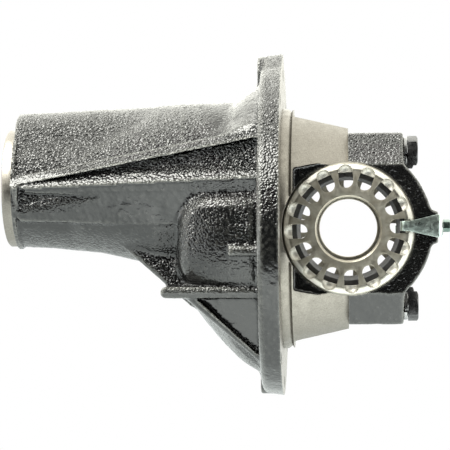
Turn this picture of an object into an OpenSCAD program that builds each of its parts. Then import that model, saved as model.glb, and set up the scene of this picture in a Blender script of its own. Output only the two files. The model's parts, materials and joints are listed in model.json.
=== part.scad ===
// Third-member differential carrier (high-pinion) with its two bearing caps, screw
// adjusters, adjuster locks, fasteners and bearing cups.
// +X runs along the pinion axis from the nose to the open gear end, Y is the axle axis,
// +Z is up. The origin is the centre of the flange bolt circle on the gasket face.
// The right side is -Y and the left side is +Y, as seen looking along +X.

/* [Axes] */
// Gasket face to axle axis
axle_x = 49; // [48:0.5:52]
// Pinion axis above the axle axis
pinion_rise = 31.75; // [30:0.25:33]

/* [Nose] */
// Front of the machined seal ring, ahead of the gasket face
nose_x = -209; // [-212:1:-204]
// Height of the machined ring ahead of the casting
ring_step = 7; // [5:0.5:9]
// Outside radius of the machined ring and of the barrel behind it
ring_r = 44.5; // [43:0.5:46]
// Radius of the pinion seal bore
seal_r = 37; // [36.5:0.5:38]
// Depth of the pinion seal bore
seal_depth = 14; // [12:1:16]

/* [Flange] */
// Radius of the flange at the gasket face
flange_r = 126; // [124:1:130]
// Thickness of the flange
flange_t = 15.6; // [14:0.1:18]
// Bolt circle radius
bolt_circle_r = 116; // [115:0.5:117]
// Number of flange bolts
bolt_count = 10; // [10:10]
// Radius of a flange bolt hole
bolt_hole_r = 4.75; // [4.5:0.25:5.5]
// Radius of the pilot spigot
pilot_r = 90.6; // [90:0.1:92]
// Height of the pilot spigot
pilot_h = 5.3; // [5:0.1:6]

/* [Bearing saddles and caps] */
// Inner face of the saddles and caps from the middle plane
saddle_in = 34; // [32:0.5:36]
// Cast face of the saddle and cap arch around the adjuster
arch_out = 71; // [69:0.5:72]
// Outside radius of the cap arch
cap_r = 61; // [60:0.1:62]
// Distance of a cap bolt from the axle axis
cap_bolt_z = 57; // [57:0.5:58]
// Distance of a cap bolt from the middle plane
cap_bolt_y = 46; // [45:0.5:46.5]
// Length of a cap leg
cap_leg = 40; // [38:0.5:42]
// Half height of a cap at the joint plane
cap_leg_z = 70.2; // [69:0.2:72]

/* [Adjusters] */
// Outside radius of the adjuster
adjuster_r = 48.2; // [47.6:0.1:48.4]
// Radius of the axle shaft hole
axle_hole_r = 22.8; // [22:0.1:24]
// Outer face of the adjuster from the middle plane
adjuster_out = 75; // [74:0.5:75.5]
// Number of spanner slots
slot_count = 16; // [14:2:16]
// Width of a spanner slot
slot_w = 10.4; // [10.2:0.1:10.6]

/* [Bearing cups] */
// Outside radius of a carrier bearing cup
cup_r = 45; // [45:45]
// Width of a carrier bearing cup
cup_w = 17; // [15:0.5:17]

/* [Hidden] */
$fn = 96;
SMALL = 0.01;
running_gap = 0.05;
face_gap = 0.3;

RIGHT = -1;
LEFT = 1;
UPPER = 1;
LOWER = -1;

// Casting
cast_x = nose_x + ring_step;
back_x = -flange_t;
wall = 8;
rim_draft = 2.4;
boss_r = 12;
top_boss_h = 3.6;
low_boss_h = 2.2;
saddle_x0 = 7.7;
cone_r0 = 90.2;
cone_r1 = 81.6;
pedestal_x = -32;
belly_y = 64;
wing_nose_y = 47;
wing_flange_y = 82;
pad_pocket = [[-187, 13], [-156, 13], [-124, 27], [-187, 28]];
pad_pocket_y = 44;
arch_z0 = 43;
arch_z1 = 47;
cavity_r = 83;
cavity_floor_x = -70;
cavity_floor_r = 46;

// Pinion bores
front_cup_x = nose_x + seal_depth;
front_cup_r = 36;
front_cup_w = 15;
front_cup_bore = 29;
rear_cup_x = -96;
rear_cup_r = 40;
rear_cup_w = 18;
rear_cup_bore = 33;
oil_gallery_r = 33.5;
race_slope = 0.2;

// Cap bolts, M12
m12_r = 6;
m12_flats = 19;
m12_head = 7.5;
washer_t = 3.3;
washer_r = 10.2;
head_turn = 5;
cap_bolt_end = axle_x - 25;
leg_end = axle_x + cap_leg;
leg_top_y = 52;
leg_slope_z = 47;

// Adjuster
bore_r = adjuster_r + running_gap;
adjuster_w = 19;
plate_t = 6.5;
rim_in_r = 41.3;
face_r = 42.3;
rim_bevel = 2.6;
slot_r0 = 29.7;
slot_r1 = 46.8;
slot_floor = 5;
slot_phase = 2.75;
cup_out = adjuster_out - adjuster_w - face_gap;

// Lock and its M6 bolt
lock_t = 2.6;
lock_z = 1.8;
lock_face = adjuster_out + 1.5;
finger_x = axle_x + 37.2;
finger_w = 7;
finger_depth = 6;
tail_w = 16.5;
taper_x0 = axle_x + 43;
boss_x = axle_x + 64.5;
boss_z = 11.7;
boss_y0 = 44;
lock_bolt_y = 56;
lock_in_y = 46;
m6_r = 3;
m6_flats = 8;
m6_head = 5.2;
m6_washer_t = 1.4;
m6_washer_r = 4.6;
m6_end = axle_x + 52;
draw_gap = 0.1;

CAST = [0.10, 0.11, 0.11];
STEEL = [0.50, 0.48, 0.44];
ZINC = [0.62, 0.68, 0.66];
DARK_STEEL = [0.24, 0.24, 0.25];

// Solid of revolution about an axis parallel to X; points are [radius, x]
module revolve_x(points, z = 0)
    translate([0, 0, z]) rotate([0, 90, 0]) rotate_extrude() polygon(points);

// Solid of revolution about an axis parallel to Y; points are [radius, y]
module revolve_y(points, x, z = 0)
    translate([x, 0, z]) rotate([-90, 0, 0]) rotate_extrude() polygon(points);

// Round bar along +X
module bar_x(r, x0, x1, y = 0, z = 0)
    translate([x0, y, z]) rotate([0, 90, 0]) cylinder(r = r, h = x1 - x0);

// Outline in the XZ plane, thick in Y
module slab_y(points, y0, y1)
    translate([0, y1, 0]) rotate([90, 0, 0]) linear_extrude(y1 - y0) polygon(points);

// Outline in the YZ plane, thick in X
module slab_x(points, x0, x1)
    translate([x0, 0, 0]) rotate([90, 0, 90]) linear_extrude(x1 - x0) polygon(points);

// Box given by its two corners
module block(a, b)
    translate(a) cube(b - a);

// A shape of the casting, drawn on the -Y side, with its mirror image
module both_sides() {
    children();
    mirror([0, 1, 0]) children();
}

// A part drawn on the right side; the left one is the same part turned half a turn
// about X, so its lock sits as far below the axle axis as the right one sits above it
module on_end(side)
    rotate([side > 0 ? 180 : 0, 0, 0]) children();

// ---- carrier housing -------------------------------------------------------

module flange() {
    revolve_x([[0, back_x], [flange_r - rim_draft, back_x], [flange_r, 0], [0, 0]]);
    // lobe of the top bolt, and raised back bosses of the top and bottom bolts
    translate([back_x, 0, bolt_circle_r]) rotate([0, 90, 0])
        cylinder(r1 = 14.5, r2 = 16.5, h = flange_t);
    bar_x(boss_r, back_x - top_boss_h, back_x, z = bolt_circle_r + 2);
    bar_x(boss_r - 3, back_x - low_boss_h, back_x, z = -bolt_circle_r);
}

module barrel() {
    revolve_x([[0, cast_x], [ring_r, cast_x], [46.4, -169], [49.5, -139], [55.5, -112],
        [61, -94], [63, -74], [63, back_x], [0, back_x]], pinion_rise);
    bar_x(ring_r, nose_x, cast_x, z = pinion_rise);
    // oil passage hump along the top
    translate([cast_x, 0, 59.6]) rotate([0, 90, 0])
        cylinder(r1 = 29, r2 = 36.9, h = back_x - cast_x);
}

module belly() {
    intersection() {
        revolve_x([[0, -76], [49, -76], [70, -59], [86, -46], [97, -35], [108, -19],
            [111, back_x], [0, back_x]]);
        block([-80, -belly_y, -112], [back_x, belly_y, 112]);
    }
    // keel under the barrel
    slab_y([[-124, -8], [-113, -18], [-86, -43], [-71, -52], [-71, 40], [-124, 40]], -36, 36);
}

// Bulge over each bearing seat
module dome(r = 33, reach = 84, edge = 16)
    revolve_y([[0, -reach], each [for (a = [0:15:90])
        [r - edge + edge * sin(a), -reach + edge - edge * cos(a)]], [r, 0], [0, 0]], -41, -8);

// Plan of the side wings: their outer faces spread from the nose to the flange
module wing_plan(inset)
    translate([0, 0, -120]) linear_extrude(240)
        polygon([[cast_x, inset - wing_nose_y], [back_x, inset - wing_flange_y],
            [back_x, wing_flange_y - inset], [cast_x, wing_nose_y - inset]]);

// Side wings: a low panel, a level rib, a diagonal rib and a pad at the nose
module wings() {
    // ribs, to the full width
    intersection() {
        wing_plan(0);
        union() {
            slab_y([[cast_x, 33], [back_x, 68.5], [back_x, 73], [cast_x, 37.5]], -90, 90);
            slab_y([[cast_x, 30.5], [back_x, 36.5], [back_x, 40.5], [cast_x, 34.5]], -90, 90);
            difference() {
                slab_y([[cast_x, 7], [cast_x, 36], [-122, 36], [-122, 3]], -90, 90);
                both_sides() slab_y(pad_pocket, -90, -pad_pocket_y);
            }
        }
    }
    // low panel, set back a little from the ribs
    intersection() {
        wing_plan(2);
        slab_y([[-124, 3], [-124, 36], [back_x, 36], [back_x, 2], [-75, 2.4]], -90, 90);
    }
}

module ribs() {
    // shelf rib with a rounded nose
    slab_y([[-85, -50], [back_x, -50.5], [back_x, -42], [-85, -42]], -70, 70);
    translate([-85, 70, -46]) rotate([90, 0, 0]) cylinder(r = 4, h = 140);
    both_sides() {
        // stub rib
        slab_y([[-40, -22], [back_x, -23], [back_x, -13], [-40, -14]], -88, -60);
        // edge rib of the lower gusset, and the panel inside it
        slab_y([[-70.5, -48], [back_x, -99], [back_x, -94], [-65, -47]], -70, -20);
        slab_y([[-69.5, -48], [back_x, -98], [back_x, -46]], -60, -20);
    }
}

// Bearing pedestals, open in the middle for the gears
module pedestals() {
    both_sides() intersection() {
        union() {
            revolve_x([[0, saddle_x0 - 1], [cone_r0 - 1.5, saddle_x0 - 1], [cone_r0, saddle_x0],
                [cone_r1, axle_x], [0, axle_x]]);
            revolve_x([[0, -50], [74, -50], [pilot_r, -20], [pilot_r, pilot_h],
                [pilot_r - 1.5, saddle_x0 - 0.5], [0, saddle_x0 - 0.5]]);
        }
        block([pedestal_x, -100, -86], [axle_x, -saddle_in, 86]);
    }
}

// Space that the turning tool did not clean, around the adjuster
module cast_recess()
    both_sides() slab_y([[saddle_x0, -arch_z0], [26, -arch_z1], [axle_x + 1, -arch_z1],
        [axle_x + 1, arch_z1], [26, arch_z1], [saddle_x0, arch_z0]], -100, -arch_out);

module pinion_bores() {
    bar_x(seal_r, nose_x - 1, front_cup_x, z = pinion_rise);
    bar_x(front_cup_r, front_cup_x - SMALL, front_cup_x + front_cup_w, z = pinion_rise);
    bar_x(oil_gallery_r, front_cup_x, rear_cup_x, z = pinion_rise);
    bar_x(rear_cup_r, rear_cup_x - rear_cup_w, cavity_floor_x + 14, z = pinion_rise);
}

// Bearing seat and adjuster thread bore of the right side
module axle_bore() {
    translate([axle_x, -cup_out - 1, 0]) rotate([-90, 0, 0])
        cylinder(r = cup_r + running_gap, h = cup_out);
    translate([axle_x, -100, 0]) rotate([-90, 0, 0])
        cylinder(r = bore_r, h = 100 - cup_out);
}

module carrier_housing() {
    color(CAST) difference() {
        union() {
            difference() {
                union() {
                    flange();
                    barrel();
                    belly();
                    both_sides() dome();
                    wings();
                    ribs();
                    revolve_x([[0, -1], [pilot_r, -1], [pilot_r, pilot_h], [pilot_r - 3, saddle_x0 - 1],
                        [0, saddle_x0 - 1]]);
                }
                // gear cavity
                intersection() {
                    revolve_x([[0, cavity_floor_x], [cavity_floor_r, cavity_floor_x],
                        [cavity_r, -26], [cavity_r, saddle_x0], [0, saddle_x0]]);
                    block([-100, wall - belly_y, -100], [axle_x, belly_y - wall, 100]);
                }
            }
            pedestals();
        }
        cast_recess();
        pinion_bores();
        both_sides() axle_bore();
        // gear space between the pedestals
        block([-50, -saddle_in, -cavity_r + 12], [axle_x + 1, saddle_in, cavity_r - 12]);
        for (side = [RIGHT, LEFT], end = [UPPER, LOWER])
            bar_x(m12_r + running_gap, cap_bolt_end - 2, axle_x + 1, side * cap_bolt_y,
                end * cap_bolt_z);
        for (i = [0 : bolt_count - 1]) {
            a = 90 + i * 360 / bolt_count;
            bar_x(bolt_hole_r, back_x - 10, 1, bolt_circle_r * cos(a), bolt_circle_r * sin(a));
        }
    }
}

// ---- bearing caps ----------------------------------------------------------

module bearing_cap(side) {
    color(CAST) on_end(side) difference() {
        union() {
            // arch and legs, sloped on the outside to clear the bore that the pilot enters
            intersection() {
                union() {
                    translate([axle_x, -arch_out, 0]) rotate([-90, 0, 0])
                        cylinder(r = cap_r, h = arch_out - saddle_in);
                    for (z = [-cap_leg_z, leg_slope_z - 5])
                        block([axle_x, -arch_out, z],
                            [leg_end, -saddle_in, z + cap_leg_z - leg_slope_z + 5]);
                }
                slab_x([[-saddle_in, -cap_leg_z], [-leg_top_y, -cap_leg_z],
                    [-arch_out, -leg_slope_z], [-arch_out, leg_slope_z],
                    [-leg_top_y, cap_leg_z], [-saddle_in, cap_leg_z]], axle_x, axle_x + 100);
            }
            // crown boss for the lock
            block([axle_x + 50, -arch_out, -boss_z + 1], [boss_x, -boss_y0, boss_z + 1]);
        }
        axle_bore();
        for (end = [UPPER, LOWER])
            bar_x(m12_r + 0.5, axle_x - 1, leg_end + 1, -cap_bolt_y, end * cap_bolt_z);
        bar_x(m6_r, m6_end, boss_x + 1, -lock_bolt_y, lock_z);
    }
}

module cap_bolt(side, end) {
    color(DARK_STEEL) translate([0, side * cap_bolt_y, end * cap_bolt_z]) {
        bar_x(m12_r, cap_bolt_end, leg_end + washer_t + SMALL);
        translate([leg_end + washer_t, 0, 0]) rotate([0, 90, 0]) intersection() {
            rotate([0, 0, -end * head_turn])
                cylinder(r = m12_flats / sqrt(3), h = m12_head, $fn = 6);
            // chamfered corners of the head
            cylinder(r1 = m12_flats / sqrt(3) + 4, r2 = m12_flats / 2, h = m12_head + 0.6);
        }
    }
}

module spring_washer(side, end, gap = 1.2) {
    color(STEEL) translate([leg_end, side * cap_bolt_y, end * cap_bolt_z])
        rotate([0, 90, 0]) difference() {
            cylinder(r = washer_r, h = washer_t);
            translate([0, 0, -1]) cylinder(r = m12_r + 0.15, h = washer_t + 2);
            rotate([0, 0, 200]) translate([0, -gap / 2, -1]) cube([20, gap, washer_t + 2]);
        }
}

// ---- adjusters and locks ---------------------------------------------------

// Flat outline of the ring of slots, seen from outside, out to radius r_max
module slot_ring(r_max) {
    r = slot_w / 2;
    intersection() {
        circle(r = r_max);
        for (i = [0 : slot_count - 1])
            rotate(slot_phase + i * 360 / slot_count) {
                translate([slot_r0 + r, 0]) circle(r = r);
                translate([slot_r1 - r, 0]) circle(r = r);
                translate([slot_r0 + r, -r]) square([slot_r1 - slot_r0 - slot_w, slot_w]);
            }
    }
}

module adjuster(side) {
    y0 = -adjuster_out;
    y1 = -adjuster_out + plate_t;
    y2 = -adjuster_out + adjuster_w;
    color(STEEL) on_end(side) difference() {
        revolve_y([[axle_hole_r, y0 + 1.2], [axle_hole_r + 1.2, y0], [face_r, y0],
            [adjuster_r - 0.8, y0 + rim_bevel], [adjuster_r, y0 + rim_bevel + 0.8],
            [adjuster_r, y2 - 1], [adjuster_r - 1, y2], [rim_in_r, y2], [rim_in_r, y1],
            [axle_hole_r, y1]], axle_x);
        // inside the rim the slots go right through the plate
        translate([axle_x, y1 + 1, 0]) rotate([90, 0, 0])
            linear_extrude(plate_t + 2) slot_ring(rim_in_r);
        // the rest of each slot is a scallop in the rim
        translate([axle_x, y0 + slot_floor, 0]) rotate([90, 0, 0])
            linear_extrude(slot_floor + 1) slot_ring(adjuster_r);
    }
}

module adjuster_lock(side) {
    x_tail = boss_x + draw_gap;
    color(ZINC) on_end(side) difference() {
        translate([0, 0, lock_z]) union() {
            // tapered face plate
            translate([0, -lock_face, 0]) rotate([90, 0, 0]) linear_extrude(lock_t)
                polygon([[finger_x, -finger_w / 2], [taper_x0, -finger_w / 2],
                    [x_tail, -tail_w / 2], [x_tail + lock_t, -tail_w / 2],
                    [x_tail + lock_t, tail_w / 2], [x_tail, tail_w / 2],
                    [taper_x0, finger_w / 2], [finger_x, finger_w / 2]]);
            // finger in the slot
            block([finger_x, -lock_face - lock_t, -finger_w / 2],
                [finger_x + lock_t, -adjuster_out + finger_depth, finger_w / 2]);
            // tail over the crown boss
            block([x_tail, -lock_face - lock_t, -tail_w / 2],
                [x_tail + lock_t, -lock_in_y, tail_w / 2]);
        }
        // open fork around the bolt
        bar_x(m6_r + 0.3, x_tail - 1, x_tail + lock_t + 1, -lock_bolt_y, lock_z);
        block([x_tail - 1, -lock_bolt_y, lock_z - m6_r - 0.3],
            [x_tail + lock_t + 1, -lock_in_y + 1, lock_z + m6_r + 0.3]);
    }
}

module lock_washer(side) {
    x0 = boss_x + lock_t + 2 * draw_gap;
    color(STEEL) on_end(side) translate([0, -lock_bolt_y, lock_z]) difference() {
        bar_x(m6_washer_r, x0, x0 + m6_washer_t);
        bar_x(m6_r + 0.1, x0 - 1, x0 + m6_washer_t + 1);
    }
}

module lock_bolt(side) {
    x0 = boss_x + lock_t + 2 * draw_gap + m6_washer_t;
    color(DARK_STEEL) on_end(side) translate([0, -lock_bolt_y, lock_z]) {
        bar_x(m6_r - 0.05, m6_end + 1, x0 + SMALL);
        translate([x0, 0, 0]) rotate([0, 90, 0]) rotate([0, 0, 30])
            cylinder(r = m6_flats / sqrt(3), h = m6_head, $fn = 6);
    }
}

// ---- bearing cups ----------------------------------------------------------

// Carrier cup: its race widens towards the middle of the housing
module carrier_bearing_cup(side)
    color(STEEL) on_end(side)
        revolve_y([[37.55, -cup_out], [cup_r - 1, -cup_out], [cup_r, -cup_out + 1],
            [cup_r, -cup_out + cup_w], [42.4, -cup_out + cup_w]], axle_x);

// Pinion cup: its race widens towards the end given by flare (-1 nose, 1 gears)
module pinion_cup(x0, r, bore, w, flare) {
    grow = race_slope * w;
    color(STEEL)
        revolve_x([[bore + (flare < 0 ? grow : 0), x0], [r, x0], [r, x0 + w],
            [bore + (flare > 0 ? grow : 0), x0 + w]], pinion_rise);
}

module front_pinion_bearing_cup()
    pinion_cup(front_cup_x, front_cup_r, front_cup_bore, front_cup_w, -1);
module rear_pinion_bearing_cup()
    pinion_cup(rear_cup_x - rear_cup_w, rear_cup_r, rear_cup_bore, rear_cup_w, 1);

carrier_housing();
bearing_cap(RIGHT);  // right_bearing_cap
bearing_cap(LEFT);  // left_bearing_cap
cap_bolt(RIGHT, UPPER);  // right_upper_cap_bolt
cap_bolt(RIGHT, LOWER);  // right_lower_cap_bolt
cap_bolt(LEFT, UPPER);  // left_upper_cap_bolt
cap_bolt(LEFT, LOWER);  // left_lower_cap_bolt
spring_washer(RIGHT, UPPER);  // right_upper_spring_washer
spring_washer(RIGHT, LOWER);  // right_lower_spring_washer
spring_washer(LEFT, UPPER);  // left_upper_spring_washer
spring_washer(LEFT, LOWER);  // left_lower_spring_washer
adjuster(RIGHT);  // right_adjuster
adjuster(LEFT);  // left_adjuster
adjuster_lock(RIGHT);  // right_adjuster_lock
adjuster_lock(LEFT);  // left_adjuster_lock
lock_bolt(RIGHT);  // right_lock_bolt
lock_bolt(LEFT);  // left_lock_bolt
lock_washer(RIGHT);  // right_lock_washer
lock_washer(LEFT);  // left_lock_washer
carrier_bearing_cup(RIGHT);  // right_carrier_bearing_cup
carrier_bearing_cup(LEFT);  // left_carrier_bearing_cup
front_pinion_bearing_cup();
rear_pinion_bearing_cup();
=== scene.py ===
import json
import math
from contextlib import contextmanager
import bmesh
import bpy
import numpy as np
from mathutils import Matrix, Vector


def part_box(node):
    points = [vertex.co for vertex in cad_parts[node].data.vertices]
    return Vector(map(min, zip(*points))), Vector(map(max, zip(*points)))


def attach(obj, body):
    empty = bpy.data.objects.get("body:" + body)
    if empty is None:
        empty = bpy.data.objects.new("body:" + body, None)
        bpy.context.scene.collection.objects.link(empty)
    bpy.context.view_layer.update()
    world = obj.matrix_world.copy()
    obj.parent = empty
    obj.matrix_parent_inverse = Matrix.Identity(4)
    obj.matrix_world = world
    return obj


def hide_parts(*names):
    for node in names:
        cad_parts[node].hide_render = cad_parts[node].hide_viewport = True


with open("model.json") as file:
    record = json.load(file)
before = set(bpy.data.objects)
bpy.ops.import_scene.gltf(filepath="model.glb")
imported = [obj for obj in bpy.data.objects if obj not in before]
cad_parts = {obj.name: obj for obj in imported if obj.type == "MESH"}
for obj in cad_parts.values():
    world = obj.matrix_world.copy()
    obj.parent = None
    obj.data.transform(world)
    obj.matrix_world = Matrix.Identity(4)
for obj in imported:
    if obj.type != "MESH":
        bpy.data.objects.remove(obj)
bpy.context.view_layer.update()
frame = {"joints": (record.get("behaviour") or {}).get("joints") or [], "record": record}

import openvdb
from mathutils import Matrix, Vector

# ---- Driving dimensions, in mm: from the frame, then the details that it leaves open ----
MM = 0.001
MOUNTS = {m["name"]: m for m in frame["record"]["mounts"]}
JOINTS = {j["name"]: j for j in frame["joints"]}


def box_mm(node):
    low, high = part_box(node)
    return np.array(low) / MM, np.array(high) / MM


def put(name, data):
    """Adds an object to the scene."""
    thing = bpy.data.objects.new(name, data)
    bpy.context.scene.collection.objects.link(thing)
    return thing


CASTING_LOW, CASTING_HIGH = box_mm("carrier_housing")
CAP_LOW, CAP_HIGH = box_mm("right_bearing_cap")
RING_LOW, RING_HIGH = box_mm("right_adjuster")
LOCK_LOW, LOCK_HIGH = box_mm("right_adjuster_lock")
CUP_LOW, CUP_HIGH = box_mm("right_carrier_bearing_cup")
BOLT_LOW, BOLT_HIGH = box_mm("right_upper_cap_bolt")
WASHER_LOW, WASHER_HIGH = box_mm("right_upper_spring_washer")
LOCK_BOLT_LOW, LOCK_BOLT_HIGH = box_mm("right_lock_bolt")
LOCK_WASHER_LOW, LOCK_WASHER_HIGH = box_mm("right_lock_washer")
FRONT_CUP_LOW, FRONT_CUP_HIGH = box_mm("front_pinion_bearing_cup")
REAR_CUP_LOW, REAR_CUP_HIGH = box_mm("rear_pinion_bearing_cup")

AXLE_X = JOINTS["right_adjuster_turn"]["pos_m"][0] / MM
PINION_Z = MOUNTS["pinion_seal_bore"]["pos_m"][2] / MM
SEAL_R = MOUNTS["pinion_seal_bore"]["dims"]["r_mm"]
NOSE_X = CASTING_LOW[0]
SEAL_END = NOSE_X + MOUNTS["pinion_seal_bore"]["dims"]["length_mm"]
FRONT_BORE_R = 36
REAR_BORE_R = 40
REAR_BORE_X0 = -114
REAR_BORE_X1 = -56
CAST_X = NOSE_X + 7
RING_R = 44.5
FLANGE_R = -CASTING_LOW[2]
FLANGE_TOP = CASTING_HIGH[2]
FLANGE_T = 15.6
BACK_X = -FLANGE_T
PILOT_R = MOUNTS["pilot_spigot"]["dims"]["r_mm"]
PILOT_H = MOUNTS["pilot_spigot"]["dims"]["length_mm"]
BOLT_CIRCLE_R = MOUNTS["flange_bolts"]["dims"]["pcd_mm"] / 2
BOLT_COUNT = MOUNTS["flange_bolts"]["dims"]["count"]
BOLT_HOLE_R = MOUNTS["flange_bolts"]["dims"]["hole_r_mm"]
AXLE_HOLE_R = MOUNTS["right_axle_hole"]["dims"]["r_mm"]
PEDESTAL_IN = -CAP_HIGH[1]
ARCH_OUT = -CAP_LOW[1]
RING_OUT = -RING_LOW[1]
RING_IN = -RING_HIGH[1]
RING_OUTER_R = 48.2
BORE_PLAY = 0.05
CUP_R = 45.0
CUP_OUT = -CUP_LOW[1]
CUP_IN = -CUP_HIGH[1]
CAP_BOLT_Y = -(BOLT_LOW[1] + BOLT_HIGH[1]) / 2
CAP_BOLT_Z = (BOLT_LOW[2] + BOLT_HIGH[2]) / 2
CAP_BOLT_R = 6
CAP_BOLT_FLATS = 19
CAP_BOLT_BORE_X = 23
LEG_END = WASHER_LOW[0]
BOSS_X = LOCK_WASHER_LOW[0] - 2.8
LOCK_Z = (LOCK_LOW[2] + LOCK_HIGH[2]) / 2
LOCK_BOLT_Y = -(LOCK_BOLT_LOW[1] + LOCK_BOLT_HIGH[1]) / 2
LOCK_BOLT_R = 3
LOCK_BOLT_FLATS = 8
SLOT_PHASE = math.radians(2.75)
SLOTS = 16
SLOT_W = 10.4
SLOT_R0 = 29.7
SLOT_R1 = 46.8
SLOT_FLOOR = 5
RIM_IN_R = 41.3
PLATE_T = 6.5
CAP_R = 61
CAP_LEG_Z = CAP_HIGH[2]
BOSS_HALF = 11.7
LOCK_T = 2.6
LOCK_FINGER_END = -RING_OUT + 6
FINGER_W = 7
TAIL_W = 16.5
BEND_R = 2.2


# ---- Camera and studio ----
def make_camera():
    data = bpy.data.cameras.new("camera")
    data.lens = 157.9
    data.sensor_width = 36
    data.clip_end = 20
    camera = put("camera", data)
    camera.location = (AXLE_X * MM - 0.0015, -1.5, 0.007)
    target = Vector((AXLE_X * MM - 0.0938, 0, 0.0030))
    camera.rotation_euler = (target - camera.location).to_track_quat("-Z", "Y").to_euler()
    camera.rotation_euler.rotate_axis("Z", math.radians(-0.3))
    bpy.context.scene.camera = camera


TENT_FRONT_TOP = 2.4
TENT_FRONT_LOW = 3.8
TENT_BACK_TOP = 3.2
TENT_BACK_LOW = 1.3
TENT_OPENING = 0.03
FLOOR_Z = -0.5


class Nodes:
    """Short ways to add and join the shader nodes of one tree."""

    def __init__(self, tree):
        self.tree = tree

    def add(self, kind):
        return self.tree.nodes.new("ShaderNode" + kind)

    def link(self, value, socket):
        """Joins an output to a socket, or gives the socket a plain value."""
        if isinstance(value, (int, float, tuple)):
            socket.default_value = value
        else:
            self.tree.links.new(value, socket)

    def maths(self, operation, *values):
        node = self.add("Math")
        node.operation = operation
        for socket, value in zip(node.inputs, values):
            self.link(value, socket)
        return node.outputs["Value"]

    def share(self, value, low, high, form="SMOOTHSTEP"):
        """0 below low, 1 above high."""
        node = self.add("MapRange")
        node.interpolation_type = form
        self.link(low, node.inputs["From Min"])
        self.link(high, node.inputs["From Max"])
        self.link(value, node.inputs["Value"])
        return node.outputs["Result"]

    def mix(self, factor, a, b, kind="RGBA"):
        node = self.add("Mix")
        node.data_type = kind
        self.link(factor, node.inputs["Factor"])
        self.link(a, node.inputs["A"])
        self.link(b, node.inputs["B"])
        return node.outputs["Result"]

    def xyz(self, vector):
        node = self.add("SeparateXYZ")
        self.link(vector, node.inputs["Vector"])
        return node.outputs


def make_soft_box(place, aim, size, power):
    """Large light above and to the left."""
    data = bpy.data.lights.new("soft_box", "AREA")
    data.shape = "RECTANGLE"
    data.size, data.size_y = size
    data.energy = power
    data.color = (1.0, 1.0, 0.94)
    light = put("soft_box", data)
    light.location = place
    direction = Vector(aim) - Vector(place)
    light.rotation_euler = direction.to_track_quat("-Z", "Y").to_euler()


def make_world():
    """White tent all round the part, with a dark opening in front, where the camera stands."""
    world = bpy.data.worlds.new("studio")
    bpy.context.scene.world = world
    world.use_nodes = True
    n = Nodes(world.node_tree)
    toward = n.xyz(n.add("TexCoord").outputs["Generated"])
    front = n.maths("MULTIPLY", toward["Y"], -1)
    ahead = n.maths("MAXIMUM", front, 0.001)
    across = n.maths("DIVIDE", toward["X"], ahead)
    above = n.maths("DIVIDE", toward["Z"], ahead)
    below = n.maths("MULTIPLY", above, -1)
    left = n.maths("MULTIPLY", across, -1)
    # how far each edge of the opening stands from the middle, as a slope
    tent = n.maths("MAXIMUM", n.share(above, 0.75, 1.5), n.share(below, 0.5, 0.8))
    sides = n.maths("MAXIMUM", n.share(across, 0.7, 1.2), n.share(left, 1.3, 2.0))
    tent = n.maths("MAXIMUM", tent, sides)
    high = n.share(toward["Z"], -0.2, 0.3)
    fore = n.maths("MULTIPLY_ADD", high, TENT_FRONT_TOP - TENT_FRONT_LOW, TENT_FRONT_LOW)
    aft = n.maths("MULTIPLY_ADD", high, TENT_BACK_TOP - TENT_BACK_LOW, TENT_BACK_LOW)
    share = n.share(front, -0.9, -0.2)
    power = n.maths("ADD", n.maths("MULTIPLY", fore, share),
                    n.maths("MULTIPLY", aft, n.maths("SUBTRACT", 1, share)))
    glow = n.maths("MULTIPLY_ADD", tent, power, TENT_OPENING)
    # slightly warm from above, cool from below, pure white where the camera looks at it
    tint = n.mix(n.share(toward["Z"], -0.2, 0.2), (0.95, 1.0, 1.0, 1), (1.0, 1.0, 0.92, 1))
    seen = n.add("LightPath").outputs["Is Camera Ray"]
    background = world.node_tree.nodes["Background"]
    n.link(n.mix(seen, glow, 1.0, "FLOAT"), background.inputs["Strength"])
    n.link(n.mix(seen, tint, (1, 1, 1, 1)), background.inputs["Color"])


def make_floor():
    """Pale paper that gets darker to the back and the left."""
    mesh = bpy.data.meshes.new("floor")
    corners = [(-3, -0.8), (3, -0.8), (3, 2.2), (-3, 2.2)]
    mesh.from_pydata([(x, y, FLOOR_Z) for x, y in corners], [], [(0, 1, 2, 3)])
    floor = put("floor", mesh)
    paper = bpy.data.materials.new("floor_paper")
    paper.use_nodes = True
    n = Nodes(paper.node_tree)
    shader = n.tree.nodes["Principled BSDF"]
    shader.inputs["Roughness"].default_value = 0.9
    place = n.xyz(n.add("TexCoord").outputs["Object"])
    falloff = n.share(n.maths("MULTIPLY_ADD", place["X"], -1.2, place["Y"]), -0.35, 0.15, "LINEAR")
    paper_colour = n.mix(falloff, (0.88, 0.93, 0.96, 1), (0.42, 0.45, 0.47, 1))
    n.link(paper_colour, shader.inputs["Base Color"])
    mesh.materials.append(paper)


def make_studio():
    make_world()
    make_soft_box((-0.85, -0.5, 1.0), (-0.1, -0.05, 0), (1.2, 1.0), 62)
    make_floor()
    bpy.context.scene.view_settings.view_transform = "Standard"


# ---- Distance fields: a casting is blended from simple shapes on a grid of points ----
def smin(a, b, k):
    """Union with a fillet about k wide."""
    h = np.clip(0.5 + 0.5 * (b - a) / k, 0, 1)
    return b + (a - b) * h - k * h * (1 - h)


def smax(a, b, k):
    """Intersection with a blended edge about k wide."""
    return -smin(-a, -b, k)


def cross(a, b, r):
    """Intersection with a round edge of radius r."""
    a, b = a + r, b + r
    outside = np.hypot(np.maximum(a, 0), np.maximum(b, 0))
    return np.minimum(np.maximum(a, b), 0) + outside - r


def between(v, low, high):
    """Slab from low to high."""
    return np.abs(v - (low + high) / 2) - (high - low) / 2


def step(v, low, high):
    """Smooth change from 0 at low to 1 at high; low may be the larger of the two."""
    t = np.clip((v - low) / (high - low), 0, 1)
    return t * t * (3 - 2 * t)


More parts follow.
